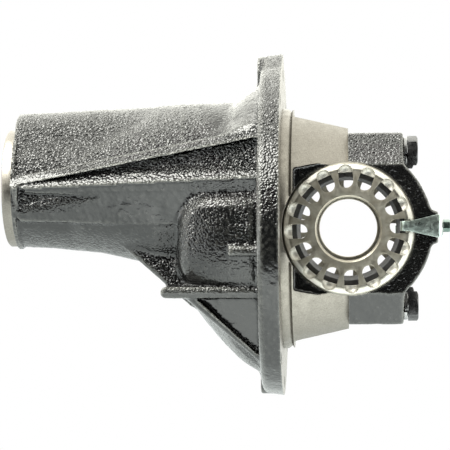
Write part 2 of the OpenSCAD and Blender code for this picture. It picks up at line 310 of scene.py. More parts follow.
class Grid:
    """Points h mm apart. Where mirrored, only y <= 0 is worked out, and y > 0 copies it."""

    def __init__(self, low, high, h, mirrored=True):
        self.low, self.h, self.mirrored = low, h, mirrored
        top = (high[0], h / 2 if mirrored else high[1], high[2])
        counts = [int(math.ceil((b - a) / h)) + 1 for a, b in zip(low, top)]
        if mirrored:
            # the middle plane falls on the last layer
            counts[1] = int(round(-low[1] / h)) + 1
            self.low = (low[0], -(counts[1] - 1) * h, low[2])
        ax = [self.low[i] + h * np.arange(counts[i], dtype=np.float32) for i in range(3)]
        self.x, self.y, self.z = ax[0][:, None, None], ax[1][None, :, None], ax[2][None, None, :]
        self.w = np.abs(self.y)

    def lathe_x(self, profile, z=0.0):
        """Turned about a line along X; profile is (x, radius) from left to right."""
        xs, rs = zip(*profile)
        radius = np.interp(self.x, xs, rs).astype(np.float32)
        slope = np.gradient(radius[:, 0, 0], self.h)[:, None, None]
        round_part = (np.hypot(self.y, self.z - z) - radius) / np.sqrt(1 + slope ** 2)
        return np.maximum(round_part, between(self.x, xs[0], xs[-1]))

    def outline(self, points, edge):
        """Signed distance to a closed outline in the XZ plane, corners rounded by edge."""
        points = np.array(points, np.float32)
        x, z = self.x + 0 * self.z, self.z + 0 * self.x
        near = np.full(x.shape, 1e12, np.float32)
        sign = np.ones(x.shape, np.float32)
        for a, b in zip(points, np.roll(points, 1, axis=0)):
            ex, ez = b - a
            wx, wz = x - a[0], z - a[1]
            t = np.clip((wx * ex + wz * ez) / (ex * ex + ez * ez), 0, 1)
            near = np.minimum(near, (wx - ex * t) ** 2 + (wz - ez * t) ** 2)
            c = np.stack([z >= a[1], z < b[1], ex * wz > ez * wx])
            sign = np.where(c.all(0) | ~c.any(0), -sign, sign)
        return sign * np.sqrt(near) - edge

    def slab(self, points, reach, edge, corner=0.0):
        """Outline in XZ, from the middle plane out to |y| = reach (a number or a field)."""
        return cross(self.outline(points, corner), self.w - reach, edge)

    def noise(self, seed, scale, shape):
        """Smooth random field of about +-1, with lumps about scale mm wide."""
        pitch = max(1, int(round(scale / self.h)))
        small = [n // pitch + 3 for n in shape]
        values = np.random.RandomState(seed).normal(0, 1, small).astype(np.float32)
        for axis in range(3):
            u = np.arange(shape[axis], dtype=np.float32) / pitch
            i = u.astype(int)
            f = u - i
            f = f * f * (3 - 2 * f)
            form = [1, 1, 1]
            form[axis] = -1
            f = f.reshape(form)
            values = np.take(values, i, axis) * (1 - f) + np.take(values, i + 1, axis) * f
        return values

    def mesh(self, name, field):
        """The field's zero surface as a mesh object, in metres."""
        field = np.clip(field, -3 * self.h, 3 * self.h).astype(np.float32)
        if self.mirrored:
            field = np.concatenate([field, field[:, -2::-1, :]], axis=1)
        vdb = openvdb.FloatGrid(3 * self.h)
        vdb.copyFromArray(np.ascontiguousarray(field))
        points, quads = vdb.convertToQuads(isovalue=0.0)
        points = (points * self.h + np.array(self.low)) * MM
        data = bpy.data.meshes.new(name)
        data.from_pydata(points.tolist(), [], quads.tolist())
        data.polygons.foreach_set("use_smooth", np.ones(len(quads), bool))
        data.update()
        return put(name, data)


# ---- Mesh helpers ----
AXIS_TURN = {
    "X": Matrix(((0, 0, 1), (1, 0, 0), (0, 1, 0))),
    "Y": Matrix(((0, 1, 0), (0, 0, 1), (1, 0, 0))),
    "Z": Matrix.Identity(3),
    # outline seen from the -Y side, heights along +Y
    "slot": Matrix(((1, 0, 0), (0, 0, 1), (0, 1, 0))),
}


@contextmanager
def edited(data):
    """Opens a mesh for editing, and writes the edits back."""
    work = bmesh.new()
    work.from_mesh(data)
    yield work
    work.to_mesh(data)
    work.free()


def new_object(name, points, faces):
    data = bpy.data.meshes.new(name)
    data.from_pydata([tuple(p) for p in points], [], faces)
    with edited(data) as work:
        bmesh.ops.recalc_face_normals(work, faces=work.faces)
    return put(name, data)


def placed(points, axis, place):
    """Points in mm with local Z along axis, moved to place, in metres."""
    turn = AXIS_TURN[axis]
    return [(turn @ Vector(p) + Vector(place)) * MM for p in points]


def lathe(name, profile, axis, place, steps):
    """Closed ring or disc from (radius, height) points; a radius of 0 closes on the axis."""
    points, faces = [], []
    n = len(profile)
    for i in range(steps):
        a = 2 * math.pi * i / steps
        points += [(r * math.cos(a), r * math.sin(a), h) for r, h in profile]
    for i in range(steps):
        j = (i + 1) % steps
        for k in range(n):
            m = (k + 1) % n
            if profile[k][0] == 0 and profile[m][0] == 0:
                continue
            faces.append((i * n + k, j * n + k, j * n + m, i * n + m))
    thing = new_object(name, placed(points, axis, place), faces)
    with edited(thing.data) as work:
        bmesh.ops.remove_doubles(work, verts=work.verts, dist=1e-7)
        bmesh.ops.dissolve_degenerate(work, edges=work.edges, dist=1e-7)
        bmesh.ops.recalc_face_normals(work, faces=work.faces)
    return thing


def prism(name, outline, low, high, axis, place):
    """Closed prism of a flat outline, from low to high along axis."""
    n = len(outline)
    points = [(u, v, low) for u, v in outline] + [(u, v, high) for u, v in outline]
    faces = [tuple(range(n - 1, -1, -1)), tuple(range(n, 2 * n))]
    faces += [(i, (i + 1) % n, n + (i + 1) % n, n + i) for i in range(n)]
    return new_object(name, placed(points, axis, place), faces)


def drum(radius, low, high, axis, place, steps):
    """Solid cylinder to cut with."""
    return lathe("cutter", [(0, low), (radius, low), (radius, high), (0, high)],
                 axis, place, steps)


def brick(low, high):
    """Block between two corners, to cut with."""
    outline = [(low[0], low[1]), (high[0], low[1]), (high[0], high[1]), (low[0], high[1])]
    return prism("cutter", outline, low[2], high[2], "Z", (0, 0, 0))


def apply_modifiers(thing):
    graph = bpy.context.evaluated_depsgraph_get()
    data = bpy.data.meshes.new_from_object(thing.evaluated_get(graph))
    old = thing.data
    thing.modifiers.clear()
    thing.data = data
    bpy.data.meshes.remove(old)


def combine(thing, others, operation="DIFFERENCE"):
    """Cuts or joins the others, which are used up."""
    for other in others:
        cut = thing.modifiers.new("cut", "BOOLEAN")
        cut.operation = operation
        cut.solver = "MANIFOLD"
        cut.object = other
    bpy.context.view_layer.update()
    apply_modifiers(thing)
    for other in others:
        data = other.data
        bpy.data.objects.remove(other)
        bpy.data.meshes.remove(data)


def soften(thing, width, angle, smooth_angle):
    """Bevels edges sharper than angle and smooths the shading."""
    bevel = thing.modifiers.new("edges", "BEVEL")
    bevel.width = width * MM
    bevel.segments = 2
    bevel.limit_method = "ANGLE"
    bevel.angle_limit = math.radians(angle)
    bevel.harden_normals = False
    apply_modifiers(thing)
    shade(thing, smooth_angle)


def shade(thing, angle):
    """Smooth shading that keeps edges sharper than angle."""
    data = thing.data
    data.polygons.foreach_set("use_smooth", np.ones(len(data.polygons), bool))
    limit = math.radians(angle)
    with edited(data) as work:
        for edge in work.edges:
            edge.smooth = len(edge.link_faces) == 2 and edge.calc_face_angle(0) < limit
    data.update()


# ---- Materials ----
class Surface(Nodes):
    """A node material with object coordinates, bump and colour helpers."""

    def __init__(self, name, metallic=0.0):
        self.material = bpy.data.materials.new(name)
        self.material.use_nodes = True
        super().__init__(self.material.node_tree)
        self.shader = self.tree.nodes["Principled BSDF"]
        self.link(metallic, self.shader.inputs["Metallic"])
        self.place = self.add("TexCoord").outputs["Object"]

    def noise(self, size, detail, rough=0.5):
        """Noise with lumps about size mm wide."""
        node = self.add("TexNoise")
        self.link(1 / (size * MM), node.inputs["Scale"])
        self.link(detail, node.inputs["Detail"])
        self.link(rough, node.inputs["Roughness"])
        self.link(self.place, node.inputs["Vector"])
        return node.outputs["Fac"]

    def cells(self, size):
        """Distance to the nearest of many points about size mm apart."""
        node = self.add("TexVoronoi")
        self.link(1 / (size * MM), node.inputs["Scale"])
        self.link(self.place, node.inputs["Vector"])
        return node.outputs["Distance"]

    def ramp(self, value, *stops):
        """Colour or grey by value; stops are (position, grey or colour)."""
        node = self.add("ValToRGB")
        marks = node.color_ramp.elements
        while len(marks) < len(stops):
            marks.new(0.5)
        for mark, (position, colour) in zip(marks, stops):
            mark.position = position
            if isinstance(colour, (int, float)):
                colour = (colour,) * 3
            mark.color = (*colour, 1)
        self.link(value, node.inputs["Fac"])
        return node.outputs["Color"]

    def edge_highlight_and_wear(self, spread):
        """Grey that is high on convex edges: a painted highlight along them, with rubbed paint."""
        pointiness = self.add("NewGeometry").outputs["Pointiness"]
        return self.ramp(pointiness, (0.5, 0.0), (0.5 + spread, 1.0))

    def bump(self, *heights):
        """Stacks (height, distance in mm, strength) bumps."""
        normal = None
        for height, distance, strength in heights:
            node = self.add("Bump")
            self.link(distance * MM, node.inputs["Distance"])
            self.link(strength, node.inputs["Strength"])
            self.link(height, node.inputs["Height"])
            if normal is not None:
                self.link(normal, node.inputs["Normal"])
            normal = node.outputs["Normal"]
        self.link(normal, self.shader.inputs["Normal"])

    def colour(self, socket):
        self.link(socket, self.shader.inputs["Base Color"])

    def roughness(self, socket):
        self.link(socket, self.shader.inputs["Roughness"])


def cast_paint():
    """Gloss black over sand-cast iron: sparkling grain on top, smooth where it faces down."""
    s = Surface("cast_black_paint")
    up = s.xyz(s.add("NewGeometry").outputs["Normal"])["Z"]
    coat = s.add("Attribute")
    coat.attribute_name = "grain"
    tilt = s.maths("MULTIPLY", s.maths("ADD", up, 1), 0.5)
    level = s.ramp(tilt, (0.06, 0.7), (0.18, 0.14), (0.36, 0.2), (0.46, 0.45), (0.52, 0.6),
                   (0.64, 1.0))
    rough = s.maths("MULTIPLY", coat.outputs["Fac"], level)
    cell = s.cells(1.8)
    lumps = s.maths("SUBTRACT", s.noise(1.8, 1, 0.5), s.maths("MULTIPLY", cell, cell))
    # painted highlight and rubbed paint: the black turns lighter grey on convex edges, in patches
    highlight_and_wear = s.maths("MULTIPLY", s.edge_highlight_and_wear(0.09), s.ramp(s.noise(2, 3), (0.3, 0.3), (0.6, 1.0)))
    s.colour(s.ramp(highlight_and_wear, (0.0, (0.004, 0.004, 0.004)), (1.0, (0.24, 0.24, 0.22))))
    s.roughness(s.ramp(s.noise(30, 2), (0.3, 0.12), (0.7, 0.18)))
    s.bump((s.noise(6, 2), 0.3, 0.5), (s.maths("MULTIPLY", lumps, rough), 1.2, 1.0))
    s.link(0.6, s.shader.inputs["Specular IOR Level"])
    return s.material


def machined_iron():
    s = Surface("machined_iron", 1.0)
    fleck = s.noise(0.9, 3, 0.7)
    s.colour(s.ramp(fleck, (0.3, (0.165, 0.153, 0.133)), (0.7, (0.265, 0.249, 0.222))))
    s.roughness(s.ramp(s.noise(6, 2), (0.3, 0.34), (0.7, 0.52)))
    s.bump((fleck, 0.05, 0.6))
    return s.material


def turned_steel(name, dark, light, rough=(0.25, 0.42), metallic=1.0):
    s = Surface(name, metallic)
    cloud = s.noise(7, 3, 0.6)
    s.colour(s.ramp(cloud, (0.3, dark), (0.7, light)))
    s.roughness(s.ramp(s.noise(2.5, 3), (0.3, rough[0]), (0.7, rough[1])))
    s.bump((s.noise(0.7, 2), 0.04, 0.5))
    return s.material


def make_materials():
    return {
        "cast": cast_paint(),
        "machined": machined_iron(),
        "adjuster": turned_steel("adjuster_steel", (0.34, 0.31, 0.25), (0.49, 0.465, 0.40),
                                 (0.38, 0.5)),
        # painted shade: the rim bevel is a darker copy of the adjuster's steel
        "bevel": turned_steel("adjuster_bevel", (0.24, 0.225, 0.19), (0.40, 0.385, 0.34),
                              (0.3, 0.42)),
        # painted light with a rougher cut finish: the milled pockets are a lighter, rougher copy of
        # the steel
        "scallop": turned_steel("adjuster_cut", (0.50, 0.485, 0.44), (0.72, 0.70, 0.65),
                                (0.5, 0.62)),
        "zinc": turned_steel("zinc_plate", (0.34, 0.41, 0.38), (0.52, 0.60, 0.56)),
        "dark": turned_steel("dark_steel", (0.05, 0.05, 0.052), (0.11, 0.11, 0.112)),
        "screw": turned_steel("zinc_screw", (0.09, 0.13, 0.115), (0.20, 0.26, 0.235)),
        "washer": turned_steel("washer_steel", (0.18, 0.18, 0.18), (0.34, 0.34, 0.34)),
        # painted shade: the cups' steel is made near-black, so they read dark inside the housing
        "bearing": turned_steel("bearing_steel", (0.05, 0.05, 0.053), (0.10, 0.10, 0.105),
                                (0.4, 0.55), 0.4),
    }


def paint(thing, *materials):
    thing.data.materials.clear()
    for material in materials:
        thing.data.materials.append(material)


def face_data(thing):
    """Face centres in mm and face normals, as arrays."""
    n = len(thing.data.polygons)
    centre, normal = np.zeros(n * 3, np.float32), np.zeros(n * 3, np.float32)
    thing.data.polygons.foreach_get("center", centre)
    thing.data.polygons.foreach_get("normal", normal)
    return centre.reshape(-1, 3) / MM, normal.reshape(-1, 3)


def set_grain(thing, values):
    """Per-vertex roughness of the casting under the paint, from 0 to 1."""
    layer = thing.data.attributes.new("grain", "FLOAT", "POINT")
    layer.data.foreach_set("value", np.asarray(values, np.float32))


def vertices_mm(thing):
    points = np.zeros(len(thing.data.vertices) * 3, np.float32)
    thing.data.vertices.foreach_get("co", points)
    return points.reshape(-1, 3) / MM


def keep_in_box(thing, node):
    """The casting's grain never stands outside the designed size."""
    low, high = box_mm(node)
    points = np.clip(vertices_mm(thing), low, high) * MM
    thing.data.vertices.foreach_set("co", points.astype(np.float32).ravel())
    thing.data.update()


def dress_casting(thing, node, materials, machined_faces, grain):
    """Marks what a tool has cut, and gives the rest its paint and its grain."""
    paint(thing, materials["cast"], materials["machined"])
    cut = machined_faces(thing)
    thing.data.polygons.foreach_set("material_index", cut.astype(np.int32))
    keep_in_box(thing, node)
    set_grain(thing, grain(vertices_mm(thing)))
    shade(thing, 50)
    # flat shading for milled faces, whose long triangles would show streaks
    milled = cut & (np.abs(face_data(thing)[1][:, 0]) > 0.99)
    thing.data.polygons.foreach_set("use_smooth", ~milled)
    thing.data.update()


def finish_piece(thing, body, node):
    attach(thing, body)
    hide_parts(node)


def finish_pair(right, body, node):
    """Finishes a right-hand piece and its left-hand copy, turned half a turn about X."""
    data = right.data.copy()
    data.transform(Matrix.Rotation(math.pi, 4, "X"))
    left = put(right.name.replace("right", "left"), data)
    finish_piece(right, "right_" + body, "right_" + node)
    finish_piece(left, "left_" + body, "left_" + node)


# ---- Carrier housing ----
WING_NOSE_Y = 50
WING_FLANGE_Y = 82
BELLY_Y = 62
CONE_START = 7.7
CONE_R0 = 90.2
CONE_R1 = 81.6
STOCK = 2.0
CUTTER_FAR = 170


def wing_reach(x):
    """How far out the side wings stand at each x."""
    return WING_NOSE_Y + (x - CAST_X) / (BACK_X - CAST_X) * (WING_FLANGE_Y - WING_NOSE_Y)


def crest_height(x):
    """Height of the ridge along the side."""
    return 31.9 + 0.037 * (x + 189)


def nose_field(g):
    radius = np.interp(g.x, [CAST_X, -169, -139, -112, -94, -74, BACK_X],
                       [RING_R, 46.4, 49.5, 55.5, 60.5, 62.6, 62.6]).astype(np.float32)
    start = -162 + 54 * step(g.z, 46, 92)
    shoulder = step(g.x, start, start + 14) * step(g.x, -78, -120)
    ridge = 0.8 * np.exp(-((g.x + 73) / 2.5) ** 2)
    bulge = (4.5 * shoulder + ridge) * np.clip(g.w / radius, 0, 1) ** 2
    barrel = np.hypot(g.y, g.z - PINION_Z) - radius - bulge
    barrel = np.maximum(barrel, between(g.x, CAST_X, BACK_X))
    hump_r = 29 + (g.x - CAST_X) * 7.9 / 186
    hump = np.maximum(np.hypot(g.y, g.z - 59.6) - hump_r, between(g.x, CAST_X, BACK_X))
    nose = smin(barrel, hump, 4)
    return cross(nose, CAST_X - g.x, 1.5)


def belly_reach(z, extra=0):
    """Half width of the belly: the sides lean in below, behind the gussets, and flare out above."""
    return BELLY_Y + extra - 0.38 * np.maximum(-48 - z, 0) + 1.2 * np.maximum(z - 62, 0)


def belly_field(g):
    cone = g.lathe_x([(-78, 47), (-70, 56.5), (-60, 69), (-52, 79), (-44, 88), (-35, 97),
                      (-27, 103), (-19, 108), (BACK_X, 110.5), (0, 112)])
    belly = cross(cone, g.w - belly_reach(g.z), 5)
    keel = g.slab([(-124.5, -7), (-113, -18.5), (-86, -42), (-69, -57), (-60, 30),
                   (-124.5, 30)], 35, 3)
    return smin(belly, keel, 6)


def wing_field(g):
    """Ribbed side of the nose: a ridge, a panel under it that faces down, and a diagonal rib."""
    full = wing_reach(g.x)
    crest = crest_height(g.x)
    foot = 32.1 + 0.185 * (g.x - CAST_X)
    below = np.maximum(crest - 1.7 - g.z, 0)
    side = full - 0.75 * np.clip(g.z - crest, 0, 10) - 0.40 * below - 1.3 * (below > 0)
    ridge = g.slab([(-190, 28), (BACK_X, 28), (BACK_X, 66), (-190, 33)], side, 0.6)
    panel = g.slab([(CAST_X + 1.5, 12), (CAST_X + 7, 6.6), (-163, 5.8), (-130, 4.2), (-87, 3.6),
                    (BACK_X, 2.5), (BACK_X, 40), (CAST_X + 1.5, 36)], side, 1.2)
    floor = full - 8 + 4 * np.clip((g.x + 197) / 65, 0, 1)
    pocket = g.slab([(-196, 14), (-161, 14), (-133, 24), (-184, 26.5), (-195, 31)], 200, 1, 1)
    panel = smax(panel, -smax(pocket, floor - g.w, 1.5), 1.5)
    slope = full - 0.75 * np.maximum(g.z - foot, 0)
    diagonal = cross(np.maximum(foot - g.z, g.z - foot - 7), g.w - slope, 0.8)
    diagonal = np.maximum(diagonal, between(g.x, CAST_X, BACK_X))
    return smin(smin(panel, ridge, 1), diagonal, 1.2)


def dome_field(g):
    """Bulge over the bearing seat, its face rounded towards the nose and downwards."""
    outline = g.outline([(-54, 3), (BACK_X + 20, 3), (BACK_X + 20, -22), (-54, -22)], 21)
    ahead = np.clip((-20 - g.x) / 55, 0, 1.2)
    under = np.clip((2 - g.z) / 45, 0, 1.2)
    outline = np.maximum(outline, g.x - BACK_X - 1)
    return cross(outline, g.w - (84 - 17 * ahead ** 2 - 13 * under ** 2), 8)


def rib_field(g):
    shelf = np.hypot(np.maximum(-84 - g.x, 0), g.z + 46) - 4.2
    shelf = np.maximum(shelf, g.x - BACK_X)
    shelf = cross(shelf, g.w - 71 + 0.45 * np.maximum(-46 - g.z, 0), 1.5)
    stub = g.slab([(-36, -17.5), (BACK_X, -18), (BACK_X, -13), (-36, -13)], 88, 2.5, 1.2)
    lower = -48 - 0.904 * (g.x + 72)
    leaning = belly_reach(g.z, 7) - 0.5 * np.clip(lower + 5 - g.z, 0, 8)
    edge = g.slab([(-72, -48), (BACK_X, -99), (BACK_X, -94.5), (-65.5, -47)], leaning, 1.2)
    panel = g.slab([(-70, -48), (BACK_X, -98), (BACK_X, -46)], belly_reach(g.z), 1)
    return np.minimum(smin(shelf, smin(edge, panel, 5), 1.5), stub)


def flange_field(g):
    radius = FLANGE_R - 2.4 + 2.4 * np.clip((g.x - BACK_X) / FLANGE_T, 0, 1)
    disc = np.hypot(g.y, g.z) - radius
    lobe_r = radius - FLANGE_R + FLANGE_TOP - 0.9 - BOLT_CIRCLE_R
    lobe = np.hypot(g.y, g.z - BOLT_CIRCLE_R) - lobe_r
    rim = smin(disc, lobe, 14)
    plate = cross(rim, BACK_X - g.x, 4)
    plate = np.maximum(plate, g.x - STOCK)
    # raised seats for the top and bottom nuts
    top = cross(np.hypot(g.y, g.z - BOLT_CIRCLE_R - 2) - 12.5, BACK_X - 3.6 - g.x, 1.5)
    low = cross(np.hypot(g.y, g.z + BOLT_CIRCLE_R) - 9.3, BACK_X - 2.2 - g.x, 1.5)
    boss = np.maximum(np.minimum(top, low), g.x + 4)
    return smin(plate, boss, 1.5)


def pedestal_field(g):
    """Raw bearing pedestals, with stock on what is turned later."""
    block = np.maximum(between(g.w, PEDESTAL_IN, 120), between(g.z, -88, 88))
    cone = g.lathe_x([(-32, 66), (BACK_X, 82), (-6, 90), (CONE_START, CONE_R0 + STOCK),
                      (AXLE_X + STOCK, CONE_R1 + STOCK)])
    shape = cross(block, cone, 1.0)
    hollow = cross(g.outline([(CONE_START + 2, -43), (28, -46.5), (80, -46.5), (80, 46.5),
                              (28, 46.5), (CONE_START + 2, 43)], 1.5), ARCH_OUT - g.w, 2.0)
    return smax(shape, -hollow, 2.5)


def cavity_field(g):
    cone = g.lathe_x([(-72, 44), (-68, 47), (-26, 83), (CONE_START + 4, 83)])
    inner = cross(cone, g.w - belly_reach(g.z, -9), 8)
    centre = np.maximum(between(g.w, -PEDESTAL_IN, PEDESTAL_IN), between(g.x, -52, 60))
    centre = cross(centre, np.abs(g.z) - 71, 6)
    return smin(inner, centre, 1)


def housing_field(g):
    body = smin(nose_field(g), belly_field(g), 2.5)
    body = smin(body, wing_field(g), 1.6 + 10 * step(g.x, -75, -35) * step(g.z, 62, 70))
    body = smin(body, dome_field(g), 5)
    body = smin(body, rib_field(g), 2.5)
    body = smin(body, flange_field(g), 4)
    pilot = g.lathe_x([(-4, PILOT_R + STOCK), (CONE_START + 0.5, PILOT_R + STOCK)])
    body = np.minimum(body, pilot)
    pinion_way = g.lathe_x([(-206, 34), (-60, 34)], PINION_Z)
    body = smax(body, -cavity_field(g), 3)
    body = smin(body, np.maximum(pedestal_field(g), -(g.x + 32)), 3)
    return np.maximum(body, -pinion_way)


def machine_housing(thing):
    """Turns, bores and drills the raw casting."""
    face = lathe("cutter", [(PILOT_R, 0), (PILOT_R, 3.9), (PILOT_R - 2.2, PILOT_H + 1.5),
                            (CONE_R0 - 0.4, CONE_START - 0.2), (CONE_R0, CONE_START + 0.2),
                            (CONE_R1, AXLE_X), (CONE_R1 - 1.3, AXLE_X + 6),
                            (CUTTER_FAR, AXLE_X + 6), (CUTTER_FAR, 0)], "X", (0, 0, 0), 256)
    nose = lathe("cutter", [(0, NOSE_X - 5), (0, NOSE_X), (RING_R - 1, NOSE_X),
                            (RING_R, NOSE_X + 1), (RING_R, CAST_X + 0.4), (60, CAST_X + 0.4),
                            (60, NOSE_X - 5)],
                 "X", (0, 0, PINION_Z), 160)
    cuts = [face, nose, brick((AXLE_X, -100, -100), (AXLE_X + 20, 100, 100))]
    cuts.append(lathe("cutter", [(0, NOSE_X - 1), (SEAL_R + 1, NOSE_X - 1), (SEAL_R + 1, NOSE_X),
                                 (SEAL_R, NOSE_X + 1), (SEAL_R, SEAL_END),
                                 (FRONT_BORE_R, SEAL_END), (FRONT_BORE_R, SEAL_END + 15),
                                 (0, SEAL_END + 15)], "X", (0, 0, PINION_Z), 128))
    cuts.append(drum(REAR_BORE_R, REAR_BORE_X0, REAR_BORE_X1, "X", (0, 0, PINION_Z), 128))
    for side in (-1, 1):
        low, high = sorted((side * CUP_OUT, side * 110))
        cuts.append(drum(RING_OUTER_R + BORE_PLAY, low, high, "Y", (AXLE_X, 0, 0), 160))
        low, high = sorted((side * 20, side * (CUP_OUT + 1)))
        cuts.append(drum(CUP_R + BORE_PLAY, low, high, "Y", (AXLE_X, 0, 0), 160))
        for end in (-1, 1):
            place = (0, side * CAP_BOLT_Y, end * CAP_BOLT_Z)
            cuts.append(drum(CAP_BOLT_R + BORE_PLAY, CAP_BOLT_BORE_X, AXLE_X + 11, "X", place, 48))
    for i in range(BOLT_COUNT):
        a = math.pi / 2 + 2 * math.pi * i / BOLT_COUNT
        place = (0, BOLT_CIRCLE_R * math.cos(a), BOLT_CIRCLE_R * math.sin(a))
        cuts.append(drum(BOLT_HOLE_R, -30, 5, "X", place, 48))
    combine(thing, cuts)


def housing_machined_faces(thing):
    """True for faces that a tool has cut, found by where they lie."""
    c, n = face_data(thing)
    x, y, z = c.T
    r = np.hypot(y, z)
    near = 0.12
    gasket = (np.abs(x) < near) & (n[:, 0] > 0.9)
    pilot = (x > 0.05) & (x < CONE_START + 0.6) & (r > 84.5) & (r < 91.5)
    cone = CONE_R0 + (CONE_R1 - CONE_R0) * (x - CONE_START) / (AXLE_X - CONE_START)
    sides = (x > CONE_START - 0.5) & (np.abs(r - cone) < 0.25)
    joint = (np.abs(x - AXLE_X) < near) & (n[:, 0] > 0.9)
    axle_r = np.hypot(x - AXLE_X, z)
    bores = (np.abs(axle_r - RING_OUTER_R) < 0.3) | (np.abs(axle_r - CUP_R) < 0.3)
    bores = bores & (np.abs(y) > 20)
    seat = (np.abs(np.abs(y) - CUP_OUT) < near) & (axle_r < 49)
    pr = np.hypot(y, z - PINION_Z)
    ring = (x < CAST_X + 0.6) & (pr < RING_R + 0.3)
    seal = (x < SEAL_END + 15.2) & (pr < SEAL_R + 1.1)
    rear = (x > REAR_BORE_X0 - 1) & (x < REAR_BORE_X1) & (np.abs(pr - REAR_BORE_R) < 0.25)
    cut = gasket | pilot | sides | joint | bores | seat | ring | seal | rear
    for side in (-1, 1):
        for end in (-1, 1):
            bolt_r = np.hypot(y - side * CAP_BOLT_Y, z - end * CAP_BOLT_Z)
            cut |= (x > CAP_BOLT_BORE_X - 1) & (bolt_r < CAP_BOLT_R + 0.2)
    return cut


def housing_grain(p):
    """1 where the casting is rough; the side panels, the flare and the gussets are smoother."""
    x, y, z = p[:, 0], np.abs(p[:, 1]), p[:, 2]
    reach = wing_reach(x)
    crest = crest_height(x)
    panel = step(y, reach - 14, reach - 10) * step(z, 1, 4) * step(z, crest - 1.5, crest - 3)
    pocket_top = 27.6 - 0.066 * (x + 183) + 0.4 * np.maximum(-183 - x, 0)
    pocket_right = -160 + 2.56 * (z - 13.2)
    pocket = (x > -197.5) & (x < pocket_right) & (z > 13.2) & (z < pocket_top)
    pad = x < -197.5
    panel = panel * np.where(pocket, 0.0, np.where(pad, 0.4, 1.0)) * step(x, -58, -76)
    band = step(y, reach - 9, reach - 6) * step(z, crest - 0.5, crest + 1) * step(z, 43, 40)
    inner = -57 - 0.68 * (x + 61)
    gusset = step(z, -50, -52) * step(y, 34, 38) * step(x, BACK_X + 2, BACK_X - 2)
    outer = belly_reach(z, 2)
    gusset = gusset * np.maximum(step(z, inner - 1.5, inner + 1.5), step(y, outer, outer + 2))
    rim = step(x, BACK_X - 3, BACK_X) * (0.65 * step(z, 75, 50) + 0.3 * step(z, 5, -10))
    shelf = step(x, -92, -88) * step(y, 58, 62) * step(z, -45, -47) * step(z, -54, -52)
    dome = step(y, reach - 1, reach + 1) * step(z, 27, 25) * step(z, -42, -40) * step(x, -22, -40)
    flare = step(x, -62, -50) * step(x, BACK_X, BACK_X - 6) * step(z, 66, 74)
    smooth = np.max([panel, 0.8 * band, gusset, 0.85 * flare, rim, 0.55 * dome, shelf], axis=0)
    return 1 - 0.85 * smooth


def make_housing(materials):
    spacing = 1.05
    g = Grid((NOSE_X - 3, -132, CASTING_LOW[2] - 3), (AXLE_X + 6, 132, FLANGE_TOP + 3), spacing)
    nose_ring = g.lathe_x([(NOSE_X - 1.5, RING_R + STOCK), (CAST_X + 3, RING_R + STOCK)], PINION_Z)
    field = np.minimum(housing_field(g), nose_ring)
    field = field + 0.10 * g.noise(3, 2.2, field.shape) + 0.12 * g.noise(5, 9, field.shape)
    thing = g.mesh("carrier_casting", field)
    machine_housing(thing)
    dress_casting(thing, "carrier_housing", materials, housing_machined_faces, housing_grain)
    finish_piece(thing, "housing", "carrier_housing")


# ---- Bearing caps ----
def cap_field(g):
    """Right-hand cap, on the -Y side, before machining."""
    arch = cross(np.hypot(g.x - AXLE_X, g.z) - CAP_R, between(g.w, PEDESTAL_IN, ARCH_OUT), 1.2)
    # the outer face slopes back towards the legs
    slope = (g.w - ARCH_OUT) * 0.777 + (np.abs(g.z) - 47) * 0.63
    leg = cross(np.abs(g.z) - CAP_LEG_Z, between(g.w, PEDESTAL_IN, ARCH_OUT), 1.2)
    leg = cross(leg, between(g.x, AXLE_X - 9, LEG_END), 1.6)
    leg = np.maximum(leg, 36 - np.abs(g.z))
    boss = cross(between(g.z, -BOSS_HALF + 1, BOSS_HALF + 1), between(g.w, 44, ARCH_OUT), 1.5)
    boss = cross(boss, between(g.x, AXLE_X + 52, BOSS_X), 1.5)
    cap = smin(cross(smin(arch, leg, 3), slope, 1.5), boss, 4)
    return np.maximum(cap, AXLE_X - 2 - g.x)


def cap_machined_faces(thing):
    c, n = face_data(thing)
    x, y, z = c.T
    r = np.hypot(x - AXLE_X, z)
    bore = (np.abs(r - RING_OUTER_R) < 0.3) | (np.abs(r - CUP_R) < 0.3)
    joint = (x < AXLE_X + 0.12) & (n[:, 0] < -0.9)
    seat = (np.abs(y + CUP_OUT) < 0.1) & (r < 48.2)
    foot = (np.abs(x - LEG_END) < 0.12) & (n[:, 0] > 0.9)
    return bore | joint | seat | foot


def cap_grain(p):
    return 0.55 + 0.35 * step(p[:, 2], 50, 55) - 0.4 * step(p[:, 2], -50, -55)


def make_caps(materials):
    spacing = 0.75
    g = Grid((AXLE_X - 4, -ARCH_OUT - 3, -CAP_LEG_Z - 3),
             (BOSS_X + 3, -PEDESTAL_IN + 3, CAP_LEG_Z + 3), spacing, mirrored=False)
    field = cap_field(g)
    field = field + 0.07 * g.noise(11, 2.0, field.shape) + 0.18 * g.noise(12, 8, field.shape)
    right = g.mesh("right_cap_casting", field)
    cuts = [brick((AXLE_X - 10, -100, -100), (AXLE_X, 0, 100)),
            brick((AXLE_X - 10, -PEDESTAL_IN, -100), (AXLE_X + 80, 0, 100)),
            drum(RING_OUTER_R + BORE_PLAY, -110, -CUP_OUT, "Y", (AXLE_X, 0, 0), 160),
            drum(CUP_R + BORE_PLAY, -CUP_OUT - 1, -20, "Y", (AXLE_X, 0, 0), 160),
            drum(LOCK_BOLT_R, AXLE_X + 52, BOSS_X + 5, "X", (0, -LOCK_BOLT_Y, LOCK_Z), 32)]
    for end in (-1, 1):
        place = (0, -CAP_BOLT_Y, end * CAP_BOLT_Z)
        cuts.append(drum(CAP_BOLT_R + 0.5, AXLE_X - 5, LEG_END + 5, "X", place, 48))
    combine(right, cuts)
    dress_casting(right, "right_bearing_cap", materials, cap_machined_faces, cap_grain)
    finish_pair(right, "cap", "bearing_cap")


